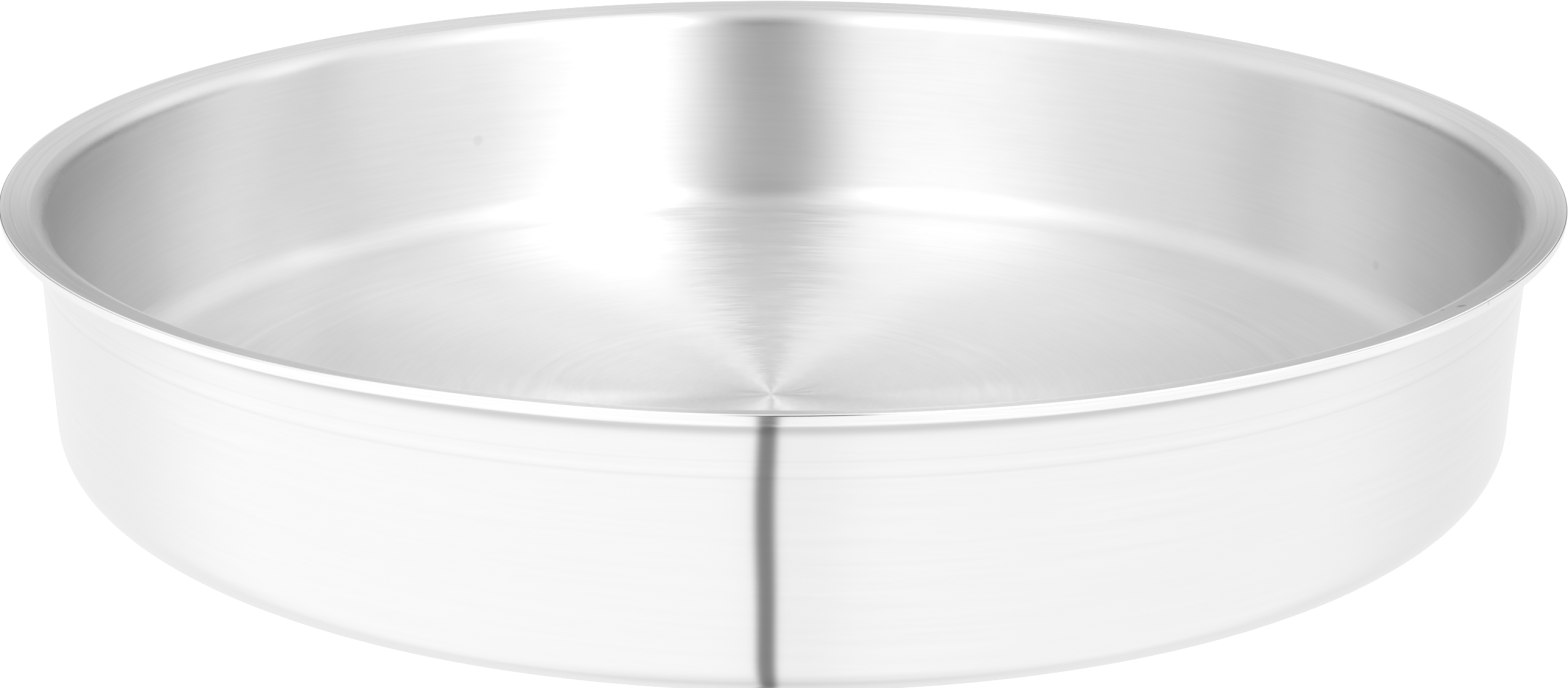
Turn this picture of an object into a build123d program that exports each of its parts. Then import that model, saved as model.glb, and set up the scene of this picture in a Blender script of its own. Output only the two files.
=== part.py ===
from build123d import *

import os

# Round cake tin: one disc of aluminium sheet, spun over a former into a pan with a rounded floor
# corner, a slightly leaning wall and a rim that is turned outward and trimmed to a plain edge.
# Millimetres. The origin is the centre of the underside, on the table, and +Z points up.

# Driving dimensions of the tin
mouth_diameter = 280.0  # inside, where the line of the wall meets the line of the rim
overall_height = 51.3  # from the table to the rim's upper edge
sheet_thickness = 2.0  # the same all over, because the tin is one sheet
wall_lean = 1.3  # how much the wall moves inward, on the radius, from mouth to floor
floor_corner_radius = 6.5  # inside, between floor and wall

# Driving dimensions of the rim
rim_width = 8.25  # on the radius, from the mouth to the trimmed edge
rim_rise = 2.1  # how much the rim climbs from the mouth to the trimmed edge
rim_bend_radius = 1.8  # underneath, between wall and rim
rim_edge_break = 0.4  # under the trimmed edge, whose upper corner is left crisp
trim_allowance = 5.0  # how far the sheet runs past the edge before it is trimmed

# Derived places on the inner face of the sheet
mouth_radius = mouth_diameter / 2
mouth_height = overall_height - rim_rise
floor_radius = mouth_radius - wall_lean
rim_radius = mouth_radius + rim_width
rim_slope = rim_rise / rim_width


def inner_face_corners():
    """Corners of the sheet's inner face, as radius and height: floor centre, floor corner, mouth
    and the edge of the rim before it is trimmed."""
    untrimmed_radius = rim_radius + trim_allowance
    untrimmed_height = overall_height + rim_slope * trim_allowance
    return [
        (0, sheet_thickness),
        (floor_radius, sheet_thickness),
        (mouth_radius, mouth_height),
        (untrimmed_radius, untrimmed_height),
    ]


def sheet_section():
    """Half of the tin's cross-section, in the plane of radius and height."""
    # The rim bends the other way from the floor corner, so its inner face is the larger arc there.
    inner_bend_radius = rim_bend_radius + sheet_thickness
    with BuildSketch() as section:
        with BuildLine():
            FilletPolyline(*inner_face_corners(), radius=[floor_corner_radius, inner_bend_radius])
            offset(amount=sheet_thickness, side=Side.RIGHT)
        make_face()
        # Trimming on the lathe leaves an upright edge at the rim's radius.
        with Locations((rim_radius, 0)):
            Rectangle(
                2 * trim_allowance,
                2 * overall_height,
                align=(Align.MIN, Align.MIN),
                mode=Mode.SUBTRACT,
            )
        trimmed_corners = section.vertices().group_by(Axis.X)[-1].sort_by(Axis.Y)
        chamfer(trimmed_corners[0], rim_edge_break)
    return section.sketch


def tin_shell():
    """The whole tin: its cross-section turned once round the upright axis."""
    upright_section = Plane.XZ * sheet_section()
    shell = revolve(upright_section, axis=Axis.Z)
    shell.label = "tin_shell"
    return shell


def main():
    os.makedirs("parts", exist_ok=True)
    shell = tin_shell()
    export_step(shell, "parts/tin_shell.step")
    box = shell.bounding_box()
    print("tin_shell", round(shell.volume), "mm3", "across", round(box.size.X, 2), "high", round(box.size.Z, 2))


main()
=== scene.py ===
import math

import bpy
import numpy as np
from mathutils import Matrix, Vector

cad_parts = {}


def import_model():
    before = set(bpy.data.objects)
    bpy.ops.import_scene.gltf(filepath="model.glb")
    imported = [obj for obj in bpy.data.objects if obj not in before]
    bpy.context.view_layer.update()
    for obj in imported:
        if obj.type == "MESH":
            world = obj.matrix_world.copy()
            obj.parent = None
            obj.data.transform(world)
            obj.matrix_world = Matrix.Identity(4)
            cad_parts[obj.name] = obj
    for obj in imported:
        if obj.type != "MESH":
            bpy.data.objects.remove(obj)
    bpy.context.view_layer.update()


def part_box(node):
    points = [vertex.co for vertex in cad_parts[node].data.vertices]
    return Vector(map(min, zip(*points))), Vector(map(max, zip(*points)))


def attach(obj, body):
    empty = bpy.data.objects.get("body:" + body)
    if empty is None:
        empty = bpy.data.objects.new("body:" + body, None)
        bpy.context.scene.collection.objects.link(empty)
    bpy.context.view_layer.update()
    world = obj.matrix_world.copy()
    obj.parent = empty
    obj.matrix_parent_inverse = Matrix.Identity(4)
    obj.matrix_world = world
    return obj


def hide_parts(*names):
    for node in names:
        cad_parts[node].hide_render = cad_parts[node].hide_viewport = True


# Looks of the round cake tin: one spun sheet of bright aluminium. Metres, in the frame's own axes.

MM = 0.001
FULL_TURN = 2 * math.pi
QUARTER_TURN = math.radians(90)
UP = Vector((0, 0, 1))
ACROSS = Vector((1, 1, 0))

# Sizes of the tin that the frame doesn't give
SHEET_THICKNESS = 2.0 * MM
WALL_LEAN = 1.3 * MM
FLOOR_CORNER_RADIUS = 6.5 * MM
RIM_WIDTH = 8.25 * MM
RIM_RISE = 2.1 * MM
RIM_BEND_RADIUS = 1.8 * MM
RIM_UPPER_ROUNDING = 0.3 * MM
RIM_LOWER_ROUNDING = 0.6 * MM

# The section's corners, in order from the middle of the floor to the middle of the base. A part of
# the section belongs to the corner that it leads to, together with that corner's rounding.
FLOOR_END, FLOOR_CORNER, MOUTH, RIM_TOP, RIM_UNDER, UNDER_BEND, BASE_CORNER, BASE_END = range(8)

# The lathe's marks are centred a little off the rim's axis
BRUSH_CENTRE = Vector((-2.3 * MM, 0, 0))

# Mesh
STEPS_ROUND = 512
ARC_STEP = math.radians(7.5)
LONGEST_SEGMENT = 3.5 * MM
TOOL_LINE_SEGMENT = 0.3 * MM

# Hand spinning leaves the sheet a little uneven
RIPPLE_WAVES = 9
RIPPLE_LENGTH = 30 * MM
FEWEST_ROUND, MOST_ROUND = 2, 16
WALL_RIPPLE, WALL_SEED = 0.08 * MM, 224
FLOOR_RIPPLE, FLOOR_SEED = 0.03 * MM, 5
RIM_RIPPLE, RIM_SEED = 0.05 * MM, 7

# The line that the spinning tool left round the outside of the wall, a little lower on the right
TOOL_LINE_HEIGHT = 38.6 * MM
TOOL_LINE_TILT = 0.45 * MM
TOOL_LINE_WIDTH = 0.5 * MM
TOOL_LINE_DEPTH = 0.01 * MM

# Grey level and roughness of each part of the metal, before its marks
FLOOR_GREY, FLOOR_ROUGHNESS = 0.87, 0.36
WALL_GREY, WALL_ROUGHNESS = 0.87, 0.34
RIM_GREY, RIM_ROUGHNESS = 0.87, 0.22
OUTSIDE_GREY, OUTSIDE_ROUGHNESS = 0.88, 0.11
BASE_GREY, BASE_ROUGHNESS = 0.85, 0.3

# Camera, found from the outlines of the rim, the wall and the base
PHOTO_WIDTH = 2576
FOCAL_PIXELS = 4786.1
SENSOR_WIDTH = 36  # millimetres, as Blender counts it
CLIP_START = 10 * MM
CAMERA_DISTANCE = 569.56 * MM
CAMERA_RISE = math.radians(14.80)
CAMERA_DOWN = math.radians(18.496)
CAMERA_YAW = math.radians(0.0256)
CAMERA_ROLL = math.radians(0.2068)

# Studio
STUDIO_FLOOR_SIZE = 12.0
STUDIO_FLOOR_DROP = 0.2 * MM
STUDIO_FLOOR_GREY = 0.8
STUDIO_FLOOR_GLOW = 0.6
TENT_LEVEL = 1.04
GLOSSY_BOUNCES = 10  # light goes round the inside of the wall in many short steps


class Nodes:
    """Adds shader nodes to one tree, and links them."""

    # Most of a noise's values lie between these
    NOISE_LOW, NOISE_HIGH = 0.3, 0.7

    def __init__(self, tree):
        self.tree = tree

    def put(self, socket, value):
        if isinstance(value, bpy.types.NodeSocket):
            self.tree.links.new(value, socket)
        else:
            socket.default_value = value

    def add(self, kind, inputs=None, **settings):
        node = self.tree.nodes.new("ShaderNode" + kind)
        for name, value in settings.items():
            setattr(node, name, value)
        for name, value in (inputs or {}).items():
            self.put(node.inputs[name], value)
        return node

    def maths(self, operation, *values):
        return self.add("Math", dict(enumerate(values)), operation=operation).outputs[0]

    def total(self, value, *others):
        """The values added up."""
        for other in others:
            value = self.maths("ADD", value, other)
        return value

    def product(self, value, *others):
        """The values multiplied."""
        for other in others:
            value = self.maths("MULTIPLY", value, other)
        return value

    def vector(self, operation, *values):
        return self.add("VectorMath", dict(enumerate(values)), operation=operation).outputs[0]

    def length(self, value):
        return self.add("VectorMath", {0: value}, operation="LENGTH").outputs["Value"]

    def scaled(self, value, amount):
        return self.add("VectorMath", {0: value, "Scale": amount}, operation="SCALE").outputs[0]

    def parts(self, value):
        return self.add("SeparateXYZ", {0: value}).outputs

    def ease(self, value, start, end, low=0.0, high=1.0):
        """Goes smoothly from low, where the value is at start, to high, where it is at end."""
        ends = {"Value": value, "From Min": start, "From Max": end, "To Min": low, "To Max": high}
        return self.add("MapRange", ends, interpolation_type="SMOOTHSTEP").outputs["Result"]

    def span(self, value, low, high):
        """Maps a noise's middle range to between low and high."""
        ends = {"Value": value, "From Min": self.NOISE_LOW, "From Max": self.NOISE_HIGH}
        ends.update({"To Min": low, "To Max": high})
        return self.add("MapRange", ends).outputs["Result"]

    def vary(self, value, amount):
        """Maps a noise's middle range to the amount on both sides of zero."""
        return self.span(value, -amount, amount)

    def bell(self, value, centre, width):
        """One at the centre, falling away on both sides of it."""
        away = self.maths("DIVIDE", self.maths("SUBTRACT", value, centre), width)
        square = self.maths("MULTIPLY", away, away)
        return self.maths("EXPONENT", self.maths("MULTIPLY", square, -1))

    def noise(self, place, scale, detail=2.0):
        return self.add("TexNoise", {"Vector": place, "Scale": scale, "Detail": detail}).outputs[0]


# ---------------------------------------------------------------- shape


def crossing(start, way, other_start, other_way):
    """Where two lines in the section meet."""
    across = way.x * other_way.y - way.y * other_way.x
    between = other_start - start
    return start + way * ((between.x * other_way.y - between.y * other_way.x) / across)


def corner_points(rim_radius, height):
    """Corners of half the section, as radius and height, with the rounding of each, from the
    middle of the floor, up the inside, round the rim and down the outside to the middle of the
    base."""
    mouth = Vector((rim_radius - RIM_WIDTH, height - RIM_RISE))
    floor_corner = Vector((mouth.x - WALL_LEAN, SHEET_THICKNESS))
    rim_top = Vector((rim_radius, height))
    wall_way = (mouth - floor_corner).normalized()
    rim_way = (rim_top - mouth).normalized()
    wall_out = Vector((wall_way.y, -wall_way.x)) * SHEET_THICKNESS
    rim_out = Vector((rim_way.y, -rim_way.x)) * SHEET_THICKNESS
    outer_start = floor_corner + wall_out
    base_corner = crossing(outer_start, wall_way, Vector((0, 0)), Vector((1, 0)))
    under_mouth = crossing(outer_start, wall_way, mouth + rim_out, rim_way)
    under_edge = crossing(mouth + rim_out, rim_way, rim_top, Vector((0, 1)))
    return [
        (Vector((0, SHEET_THICKNESS)), 0),
        (floor_corner, FLOOR_CORNER_RADIUS),
        (mouth, RIM_BEND_RADIUS + SHEET_THICKNESS),
        (rim_top, RIM_UPPER_ROUNDING),
        (under_edge, RIM_LOWER_ROUNDING),
        (under_mouth, RIM_BEND_RADIUS),
        (base_corner, FLOOR_CORNER_RADIUS + SHEET_THICKNESS),
        (Vector((0, 0)), 0),
    ]


def straight(start, end, longest):
    """Points after the start, up to and with the end, evenly spaced."""
    count = max(1, math.ceil((end - start).length / longest))
    return [start.lerp(end, k / count) for k in range(1, count + 1)]


def outer_wall(start, end):
    """As straight, but finer where the tool's line runs."""
    reach = TOOL_LINE_TILT + 3 * TOOL_LINE_WIDTH
    points = []
    for height, longest in (
        (TOOL_LINE_HEIGHT + reach, LONGEST_SEGMENT),
        (TOOL_LINE_HEIGHT - reach, TOOL_LINE_SEGMENT),
        (end.y, LONGEST_SEGMENT),
    ):
        here = points[-1] if points else start
        there = start.lerp(end, (height - start.y) / (end.y - start.y))
        points += straight(here, there, longest)
    return points


def section_points(corners):
    """Points of the section, with its corners rounded, and the corner that each belongs to."""
    points, owners = [corners[0][0].copy()], [FLOOR_END]
    for k in range(1, len(corners) - 1):
        corner, radius = corners[k]
        back = (corners[k - 1][0] - corner).normalized()
        ahead = (corners[k + 1][0] - corner).normalized()
        half = math.acos(back.dot(ahead)) / 2
        run_end = corner + back * (radius / math.tan(half))
        if k == BASE_CORNER:
            run = outer_wall(points[-1], run_end)
        else:
            run = straight(points[-1], run_end, LONGEST_SEGMENT)
        middle = corner + (back + ahead).normalized() * (radius / math.sin(half))
        turn = 2 * (QUARTER_TURN - half)
        if back.x * ahead.y - back.y * ahead.x > 0:
            turn = -turn
        steps = math.ceil(abs(turn) / ARC_STEP)
        first = run_end - middle
        spins = [Matrix.Rotation(turn * step / steps, 2) for step in range(1, steps + 1)]
        arc = [middle + spin @ first for spin in spins]
        points += run + arc
        owners += [k] * len(run + arc)
    last = straight(points[-1], corners[-1][0], LONGEST_SEGMENT)
    return np.array(points + last), np.array(owners + [BASE_END] * len(last))


def eased(value, start, end):
    """Goes smoothly from 0 at start to 1 at end."""
    part = np.clip((value - start) / (end - start), 0, 1)
    return part * part * (3 - 2 * part)


def ripple(seed, angle, travel):
    """Long low waves, of about one unit in height, round the tin and along the sheet."""
    generator = np.random.default_rng(seed)
    height = 0
    for _ in range(RIPPLE_WAVES):
        around = generator.integers(FEWEST_ROUND, MOST_ROUND)
        along = generator.uniform(-1, 1) * FULL_TURN / RIPPLE_LENGTH
        phase = generator.uniform(0, FULL_TURN)
        height = height + np.sin(around * angle + along * travel + phase)
    return height / math.sqrt(RIPPLE_WAVES)


def uneven(radius, height, angle, owner, wall_radius, rim_radius):
    """The rings' radii and heights with the waves and the tool's line of hand spinning. The base
    stays flat, and the sheet's two faces move together."""
    full_wave_height = 3 * FLOOR_CORNER_RADIUS
    on_wall = eased(height, SHEET_THICKNESS, full_wave_height)
    wave = WALL_RIPPLE * ripple(WALL_SEED, angle, height) * on_wall
    line = TOOL_LINE_HEIGHT - TOOL_LINE_TILT * np.sin(angle + QUARTER_TURN)
    groove = np.exp(-(((height - line) / TOOL_LINE_WIDTH) ** 2)) * (owner == BASE_CORNER)
    flat_radius = wall_radius - 2 * FLOOR_CORNER_RADIUS
    on_floor = (owner == FLOOR_CORNER) * eased(-radius, -flat_radius, -wall_radius / 2)
    on_rim = eased(radius, wall_radius + SHEET_THICKNESS, rim_radius)
    new_height = height + FLOOR_RIPPLE * ripple(FLOOR_SEED, angle, radius) * on_floor
    new_height = new_height + RIM_RIPPLE * ripple(RIM_SEED, angle, 0) * on_rim
    return radius + wave - TOOL_LINE_DEPTH * groove, new_height


def lathe(name, section, owners, wall_radius, rim_radius):
    """A mesh that turns the section once round the Z axis, with one vertex at each end of it, and
    the section's corner that each face belongs to."""
    angles = np.arange(STEPS_ROUND)[None, :] * (FULL_TURN / STEPS_ROUND)
    rings = section[1:-1]
    ring_owners = owners[1:-1, None]
    radius, height = uneven(
        rings[:, :1], rings[:, 1:], angles, ring_owners, wall_radius, rim_radius
    )
    rounds = np.stack([radius * np.cos(angles), radius * np.sin(angles), height], 2)
    ends = [[0, 0, section[0][1]], [0, 0, section[-1][1]]]
    vertices = np.concatenate([rounds.reshape(-1, 3), ends])
    top_index, bottom_index = len(vertices) - 2, len(vertices) - 1
    last = len(rings) - 1
    faces, face_owners = [], []
    for k in range(STEPS_ROUND):
        after = (k + 1) % STEPS_ROUND
        faces.append((top_index, k, after))
        face_owners.append(owners[1])
        for ring in range(last):
            a, b = ring * STEPS_ROUND, (ring + 1) * STEPS_ROUND
            faces.append((a + k, b + k, b + after, a + after))
            face_owners.append(owners[ring + 2])
        faces.append((last * STEPS_ROUND + k, bottom_index, last * STEPS_ROUND + after))
        face_owners.append(owners[-1])
    mesh = bpy.data.meshes.new(name)
    mesh.from_pydata(vertices.tolist(), [], faces)
    mesh.polygons.foreach_set("use_smooth", [True] * len(faces))
    mesh.update()
    piece = bpy.data.objects.new(name, mesh)
    bpy.context.scene.collection.objects.link(piece)
    return piece, face_owners


# ---------------------------------------------------------------- metal


class BrushedMetal(Nodes):
    """Bright aluminium with fine marks round the centre of the lathe. Colours are grey levels from
    0 to 1, and every mark adds to the colour or takes from it."""

    def __init__(self, name):
        self.material = bpy.data.materials.new(name)
        self.material.use_nodes = True
        super().__init__(self.material.node_tree)
        self.shader = self.tree.nodes["Principled BSDF"]
        self.place = self.add("TexCoord").outputs["Object"]
        spoke = self.vector("MULTIPLY", self.vector("SUBTRACT", self.place, BRUSH_CENTRE), ACROSS)
        self.radius = self.length(spoke)
        self.spoke = self.vector("NORMALIZE", spoke)
        self.right = self.parts(self.spoke)["X"]
        self.reach = self.length(self.vector("MULTIPLY", self.place, ACROSS))
        self.height = self.parts(self.place)["Z"]
        self.travel = self.maths("ADD", self.radius, self.height)

    def streaks(self, per_turn, spacing, detail=3.0):
        """Marks that run round the tin. Their spacing is along the sheet."""
        round_place = self.scaled(self.spoke, per_turn / FULL_TURN)
        along = self.maths("DIVIDE", self.travel, spacing)
        lifted = self.add("CombineXYZ", {"Z": along}).outputs[0]
        return self.noise(self.vector("ADD", round_place, lifted), scale=1.0, detail=detail)

    def spot(self, angle, radius, height, size):
        """One inside a small mark, whose angle is counted from the front towards the right."""
        turn = math.radians(angle)
        centre = Vector((radius * math.sin(turn), -radius * math.cos(turn), height))
        away = self.length(self.vector("SUBTRACT", self.place, centre))
        return self.ease(away, size, size / 2)

    def grooves(self, per_turn, spacing, depth):
        """The relief of fine marks that run round the tin."""
        return self.span(self.streaks(per_turn, spacing), 0.0, depth)

    def finish(self, colour, roughness, relief, jitter):
        """Sets the shader's inputs. The jitter turns the marks a little, streak by streak."""
        self.put(self.shader.inputs["Metallic"], 1.0)
        grey = self.add("CombineColor", {"Red": colour, "Green": colour, "Blue": colour})
        self.put(self.shader.inputs["Base Color"], grey.outputs[0])
        self.put(self.shader.inputs["Roughness"], roughness)
        self.put(self.shader.inputs["Anisotropic"], 1.0)
        self.put(self.shader.inputs["Anisotropic Rotation"], QUARTER_TURN / FULL_TURN)
        around = self.vector("CROSS_PRODUCT", UP, self.spoke)
        turned = self.vary(self.streaks(per_turn=60, spacing=0.5 * MM, detail=1.0), jitter)
        way = self.vector("ADD", around, self.scaled(self.spoke, turned))
        self.put(self.shader.inputs["Tangent"], self.vector("NORMALIZE", way))
        bump = self.add("Bump", {"Height": relief, "Distance": 1.0})
        self.put(self.shader.inputs["Normal"], bump.outputs[0])
        return self.material


def floor_metal():
    metal = BrushedMetal("floor_metal")
    fine = metal.streaks(per_turn=40, spacing=0.7 * MM)
    clouds = metal.noise(metal.place, scale=28.0)
    inner_ring = metal.bell(metal.radius, centre=47 * MM, width=9 * MM)
    outer_ring = metal.bell(metal.radius, centre=110 * MM, width=11 * MM)
    ring_marks = metal.vary(metal.streaks(per_turn=9, spacing=2.2 * MM), amount=0.03)
    colour = metal.total(
        FLOOR_GREY,
        metal.vary(fine, amount=0.016),
        metal.vary(clouds, amount=0.015),
        metal.product(ring_marks, metal.maths("MAXIMUM", inner_ring, outer_ring)),
    )
    roughness = metal.total(
        FLOOR_ROUGHNESS, metal.vary(clouds, amount=0.015), metal.vary(fine, amount=0.01)
    )
    relief = metal.grooves(per_turn=12, spacing=1.5 * MM, depth=0.004 * MM)
    return metal.finish(colour, roughness, relief, jitter=0.07)


def wall_metal():
    """The inside of the wall has painted shade at its two far ends, and is more scratched at its
    right end.
    """
    metal = BrushedMetal("wall_metal")
    fine = metal.streaks(per_turn=40, spacing=0.8 * MM)
    clouds = metal.noise(metal.place, scale=35.0)
    far_side = metal.maths("ABSOLUTE", metal.right)
    # Painted shade: darker towards the wall's two far ends, a little more so in its upper part
    # below the rim's bend.
    painted_end_shade = metal.ease(far_side, start=0.93, end=1.0, low=0.0, high=-0.12)
    painted_upper_end_shade = metal.product(
        metal.ease(far_side, start=0.95, end=1.0),
        metal.ease(metal.height, start=28 * MM, end=46 * MM, low=0.0, high=-0.05),
        metal.ease(metal.height, start=49 * MM, end=47.5 * MM),
    )
    left_smudge = metal.spot(angle=-148.7, radius=139 * MM, height=23.4 * MM, size=1.6 * MM)
    right_smudge = metal.spot(angle=112.5, radius=139 * MM, height=13.2 * MM, size=1.4 * MM)
    smudge_shade = -0.07
    scratches = metal.ease(
        metal.streaks(per_turn=5, spacing=1.1 * MM, detail=5.0),
        start=0.6, end=0.68, low=0.0, high=0.07,
    )
    scratched_place = metal.product(
        metal.ease(metal.right, start=0.9, end=0.99),
        metal.bell(metal.height, centre=42 * MM, width=4 * MM),
    )
    colour = metal.total(
        WALL_GREY,
        metal.vary(fine, amount=0.014),
        metal.vary(clouds, amount=0.02),
        # painted shade at the wall's two far ends
        metal.total(painted_end_shade, painted_upper_end_shade),
        metal.product(metal.total(left_smudge, right_smudge), smudge_shade),
        metal.product(scratches, scratched_place),
    )
    smoother = metal.product(
        metal.ease(far_side, start=0.7, end=0.97),
        metal.ease(metal.height, start=43 * MM, end=48.5 * MM, low=0.0, high=-0.07),
    )
    roughness = metal.total(
        WALL_ROUGHNESS, metal.vary(clouds, amount=0.02), metal.vary(fine, amount=0.01), smoother
    )
    relief = metal.grooves(per_turn=14, spacing=2.0 * MM, depth=0.004 * MM)
    return metal.finish(colour, roughness, relief, jitter=0.01)


def rim_nicks(metal):
    """One inside the four small nicks on the rim's front right."""
    inner_nick = metal.spot(angle=49.5, radius=143.1 * MM, height=50.0 * MM, size=0.5 * MM)
    outer_height = 50.6 * MM
    outer_nicks = [
        metal.spot(angle=50.5, radius=145.2 * MM, height=outer_height, size=1.0 * MM),
        metal.spot(angle=57.1, radius=146.9 * MM, height=outer_height, size=0.8 * MM),
        metal.spot(angle=52.0, radius=147.6 * MM, height=outer_height, size=0.8 * MM),
    ]
    return metal.total(inner_nick, *outer_nicks)


def rim_metal():
    """The rim is scratched most towards its edge, and the edge itself is smoother and carries a
    painted highlight.
    """
    metal = BrushedMetal("rim_metal")
    fine = metal.streaks(per_turn=50, spacing=0.45 * MM)
    # Painted highlight: the rim's outer edge is made lighter; the same mask also makes it
    # smoother.
    edge_highlight_and_smoothness = metal.ease(metal.reach, start=147.3 * MM, end=147.9 * MM, low=0.0, high=0.07)
    outer_half = metal.product(
        metal.ease(metal.reach, start=142 * MM, end=145.5 * MM, low=0.25, high=1.0),
        metal.ease(metal.reach, start=147.8 * MM, end=147.2 * MM),
    )
    scratches = metal.ease(
        metal.streaks(per_turn=10, spacing=0.3 * MM, detail=4.0),
        start=0.5, end=0.66, low=0.0, high=-0.1,
    )
    nick_shade, edge_smoothness = -0.4, -1.4
    colour = metal.total(
        RIM_GREY,
        metal.vary(fine, amount=0.03),
        edge_highlight_and_smoothness,
        metal.product(scratches, outer_half),
        metal.product(rim_nicks(metal), nick_shade),
    )
    roughness = metal.total(
        RIM_ROUGHNESS, metal.vary(fine, amount=0.02), metal.product(edge_highlight_and_smoothness, edge_smoothness)
    )
    relief = metal.grooves(per_turn=20, spacing=0.8 * MM, depth=0.003 * MM)
    return metal.finish(colour, roughness, relief, jitter=0.02)


def outside_metal():
    """The outside of the wall is the smoothest. The tool's line is darkened with painted shade,
    with a painted glint and a fine darker line above it, and the bend under the rim has painted
    shade."""
    metal = BrushedMetal("outside_metal")
    fine = metal.streaks(per_turn=30, spacing=0.9 * MM)
    clouds = metal.noise(metal.place, scale=16.0, detail=1.0)
    patches = metal.ease(clouds, start=0.48, end=0.62)
    broad = metal.span(metal.streaks(per_turn=30, spacing=1.6 * MM), low=-0.008, high=0.016)
    drop = metal.maths("DIVIDE", metal.right, -1 / TOOL_LINE_TILT)
    above_middle = metal.maths("SUBTRACT", metal.height, TOOL_LINE_HEIGHT)
    above = metal.maths("SUBTRACT", above_middle, drop)
    # Painted shade on the tool's line and in the bend under the rim, a painted glint above the
    # line, and a fine darker line above that.
    line_shade, fine_line_shade, glint_light, bend_shade = -0.045, -0.025, 0.015, -0.26
    colour = metal.total(
        OUTSIDE_GREY,
        metal.vary(fine, amount=0.006),
        metal.product(broad, patches),
        metal.product(metal.bell(above, centre=0.0, width=0.28 * MM), line_shade),
        metal.product(metal.bell(above, centre=2.7 * MM, width=0.2 * MM), fine_line_shade),
        metal.product(metal.bell(above, centre=1.1 * MM, width=0.4 * MM), glint_light),
        metal.product(metal.bell(metal.height, centre=46.5 * MM, width=0.95 * MM), bend_shade),
    )
    roughness = metal.total(OUTSIDE_ROUGHNESS, metal.vary(clouds, amount=0.01))
    relief = metal.grooves(per_turn=10, spacing=4.0 * MM, depth=0.004 * MM)
    return metal.finish(colour, roughness, relief, jitter=0.005)


def base_metal():
    metal = BrushedMetal("base_metal")
    fine = metal.streaks(per_turn=40, spacing=0.8 * MM)
    scuffs = metal.noise(metal.place, scale=60.0, detail=4.0)
    colour = metal.total(
        BASE_GREY, metal.vary(fine, amount=0.015), metal.vary(scuffs, amount=0.02)
    )
    roughness = metal.total(BASE_ROUGHNESS, metal.vary(scuffs, amount=0.04))
    relief = metal.grooves(per_turn=14, spacing=1.5 * MM, depth=0.004 * MM)
    return metal.finish(colour, roughness, relief, jitter=0.05)


# ---------------------------------------------------------------- pieces


def add_tin():
    low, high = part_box("tin_shell")
    rim_radius = (high.x - low.x) / 2
    corners = corner_points(rim_radius, high.z - low.z)
    section, owners = section_points(corners)
    tin, face_owners = lathe("tin", section, owners, corners[MOUTH][0].x, rim_radius)
    makers = [floor_metal, wall_metal, rim_metal, outside_metal, base_metal]
    for make in makers:
        tin.data.materials.append(make())
    zones = {
        FLOOR_CORNER: floor_metal,
        MOUTH: wall_metal,
        RIM_TOP: rim_metal,
        RIM_UNDER: rim_metal,
        UNDER_BEND: outside_metal,
        BASE_CORNER: outside_metal,
        BASE_END: base_metal,
    }
    slots = [makers.index(zones[int(owner)]) for owner in face_owners]
    tin.data.polygons.foreach_set("material_index", slots)
    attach(tin, "root")
    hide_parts("tin_shell")


def add_camera(top):
    camera = bpy.data.cameras.new("camera")
    camera.sensor_width = SENSOR_WIDTH
    camera.lens = camera.sensor_width * FOCAL_PIXELS / PHOTO_WIDTH
    camera.clip_start = CLIP_START
    body = bpy.data.objects.new("camera", camera)
    place = Vector((0, -math.cos(CAMERA_RISE), math.sin(CAMERA_RISE))) * CAMERA_DISTANCE
    place.z += top
    turn = (
        Matrix.Rotation(-CAMERA_YAW, 4, "Z")
        @ Matrix.Rotation(QUARTER_TURN - CAMERA_DOWN, 4, "X")
        @ Matrix.Rotation(CAMERA_ROLL, 4, "Z")
    )
    body.matrix_world = Matrix.Translation(place) @ turn
    bpy.context.scene.collection.objects.link(body)
    bpy.context.scene.camera = body


def add_floor():
    """A plain pale floor, which the metal doesn't reflect: below the horizon it sees the tent."""
    half = STUDIO_FLOOR_SIZE / 2
    corners = [(-half, -half, 0), (half, -half, 0), (half, half, 0), (-half, half, 0)]
    mesh = bpy.data.meshes.new("studio_floor")
    mesh.from_pydata(corners, [], [(0, 1, 2, 3)])
    floor = bpy.data.objects.new("studio_floor", mesh)
    bpy.context.scene.collection.objects.link(floor)
    material = bpy.data.materials.new("studio_floor")
    material.use_nodes = True
    shader = material.node_tree.nodes["Principled BSDF"]
    shader.inputs["Base Color"].default_value = (*[STUDIO_FLOOR_GREY] * 3, 1)
    shader.inputs["Roughness"].default_value = 1
    shader.inputs["Specular IOR Level"].default_value = 0
    shader.inputs["Emission Color"].default_value = (1, 1, 1, 1)
    shader.inputs["Emission Strength"].default_value = STUDIO_FLOOR_GLOW
    mesh.materials.append(material)
    floor.visible_glossy = False
    floor.location.z = -STUDIO_FLOOR_DROP


# ---------------------------------------------------------------- light


class Sky(Nodes):
    """Nodes for the light tent, whose brightness depends on the way from the tin. Azimuth is
    counted from the front towards the right. Sideways is the angle out of the upright plane
    through the camera, and rise is the angle round in that plane, from the front horizon up."""

    def __init__(self, tree):
        super().__init__(tree)
        way = self.parts(self.add("TexCoord").outputs["Generated"])
        ahead = self.maths("MULTIPLY", way["Y"], -1)
        self.right = way["X"]
        self.azimuth = self.maths("ARCTAN2", way["X"], ahead)
        self.elevation = self.maths("ARCSINE", way["Z"])
        self.sideways = self.maths("ARCSINE", way["X"])
        self.rise = self.maths("ARCTAN2", way["Z"], ahead)

    def step(self, angle, start, end, low=0.0, high=1.0):
        """As ease, with the start and the end in degrees."""
        return self.ease(angle, math.radians(start), math.radians(end), low, high)

    def hump(self, angle, centre, width):
        """As bell, with the centre and the width in degrees."""
        return self.bell(angle, math.radians(centre), math.radians(width))


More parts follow.
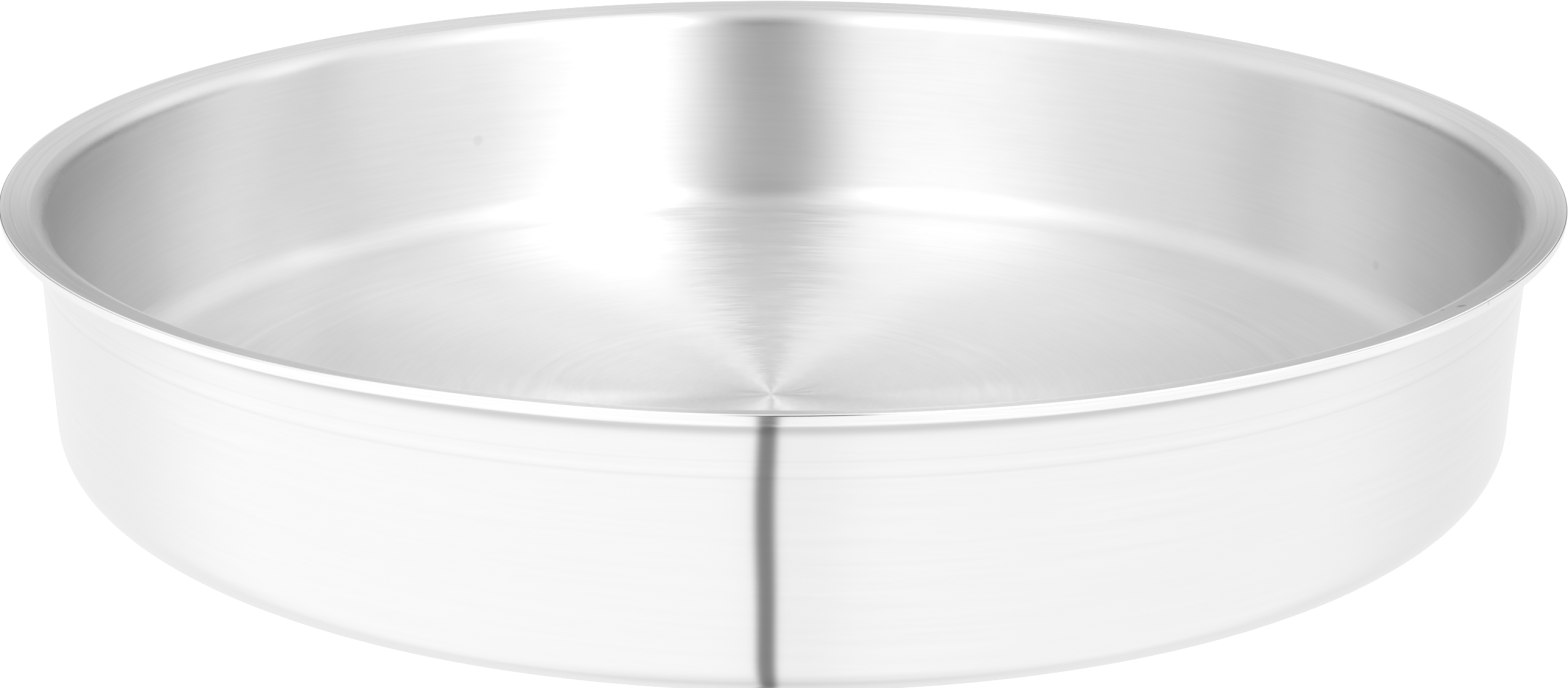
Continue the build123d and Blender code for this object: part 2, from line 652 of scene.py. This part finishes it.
def light_gap(sky):
    """How much light is left at the gap between the two halves of the light tent. It starts as a
    narrow slit in front of the tin, widens where the camera stands, and runs over the top."""

    def slit_to_gap(slit, gap):
        """Goes from the slit's value, below, to the gap's."""
        return sky.step(sky.rise, start=-14, end=8, low=slit, high=gap)

    centre = slit_to_gap(slit=math.radians(-2.2), gap=math.radians(3.4))
    half_width = slit_to_gap(slit=math.radians(1.9), gap=math.radians(16.3))
    core = slit_to_gap(slit=0.45, gap=0.29)
    low_depth = slit_to_gap(slit=0.75, gap=0.97)
    high_depth = sky.step(sky.rise, start=26, end=95, low=1.0, high=0.05)
    in_front = sky.step(sky.rise, start=-135, end=-110)
    # Below the horizon the gap fans out so that the tin's front shows it as one straight stripe
    least_fold = -0.3
    cosine = sky.maths("COSINE", sky.maths("MINIMUM", sky.rise, 0.0))
    fold = sky.maths("MAXIMUM", cosine, least_fold)
    level = math.cos(CAMERA_DOWN)
    fan = sky.maths("DIVIDE", 1 + level, sky.maths("ADD", fold, level))
    turn = sky.maths("MULTIPLY", sky.sideways, fan)
    away = sky.maths("ABSOLUTE", sky.maths("SUBTRACT", turn, centre))
    part = sky.maths("DIVIDE", away, half_width)
    ends = {"Value": part, "From Min": core, "To Min": 1.0, "To Max": 0.0}
    inside = sky.add("MapRange", ends).outputs["Result"]
    loss = sky.product(inside, sky.product(low_depth, high_depth, in_front))
    # A soft shade beside the slit
    beside = sky.hump(turn, centre=3, width=7)
    loss = sky.maths("MULTIPLY_ADD", beside, slit_to_gap(slit=0.05, gap=0.0), loss)
    return sky.maths("SUBTRACT", 1.0, loss)


def side_panel(sky, centre, width, strength):
    """Extra light from a soft panel above the horizon, on one side of the camera."""
    risen = sky.step(sky.elevation, start=5, end=37, low=0.0, high=strength)
    fallen = sky.step(sky.elevation, start=45, end=68, low=1.0, high=0.0)
    return sky.product(sky.hump(sky.azimuth, centre, width), sky.product(risen, fallen))


def side_seams(sky):
    """Light and shade where the tent's front meets its sides, which the far wall shows beside its
    two softer dark patches. Each strip is given as its azimuth, its width and its light."""
    right_strips = ((99, 5, 0.6), (87, 5, -0.45))
    left_strips = ((-79, 5, -0.15), (-91, 4, 0.1))
    light = 0.0
    for centre, width, amount in right_strips + left_strips:
        strip = sky.hump(sky.azimuth, centre, width)
        light = sky.maths("MULTIPLY_ADD", strip, amount, light)
    risen = sky.step(sky.elevation, start=0, end=10)
    fallen = sky.step(sky.elevation, start=70, end=40)
    return sky.product(light, sky.product(risen, fallen))


def dim_back(sky):
    """How much of the tent's light is left behind the tin, where it is darkest near the horizon.
    The two patches straight behind are what the far rim shows."""
    straight_behind = 180
    least_light = 0.02
    turn = sky.maths("ABSOLUTE", sky.azimuth)
    behind = sky.step(turn, start=85, end=125)
    shade = sky.step(sky.elevation, start=-15, end=15, low=0.12, high=0.04)
    even = sky.product(behind, shade)
    for width, height, spread, amount in ((7, 48, 9, 0.4), (20, 24, 10, 0.24)):
        patch = sky.product(
            sky.hump(turn, straight_behind, width), sky.hump(sky.elevation, height, spread)
        )
        even = sky.maths("MULTIPLY_ADD", patch, amount, even)
    low_band = sky.hump(sky.elevation, centre=7, width=8)
    two_sides = sky.hump(turn, centre=135, width=46)
    band_depth = 1.05
    band = sky.product(low_band, sky.product(two_sides, band_depth))
    kept = sky.maths("SUBTRACT", 1.0, sky.total(even, band))
    return sky.maths("MAXIMUM", kept, least_light)


def add_world():
    world = bpy.data.worlds.new("studio")
    bpy.context.scene.world = world
    world.use_nodes = True
    sky = Sky(world.node_tree)
    slope = sky.step(sky.elevation, start=-8, end=14, low=-0.04, high=0.08)
    tent = sky.total(
        side_panel(sky, centre=-34, width=29, strength=1.25),
        side_panel(sky, centre=28, width=30, strength=1.97),
        sky.maths("MULTIPLY_ADD", sky.right, slope, TENT_LEVEL),
        sky.step(sky.elevation, start=50, end=75, low=0.0, high=0.14),
        side_seams(sky),
    )
    under = sky.step(sky.elevation, start=-88, end=-60, low=0.85, high=1.0)
    light = sky.product(tent, dim_back(sky), light_gap(sky), under)
    sky.put(world.node_tree.nodes["Background"].inputs["Color"], light)


def main():
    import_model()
    _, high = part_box("tin_shell")
    add_tin()
    add_camera(high.z)
    add_floor()
    add_world()
    bpy.context.scene.view_settings.view_transform = "Standard"
    bpy.context.scene.cycles.glossy_bounces = GLOSSY_BOUNCES


main()
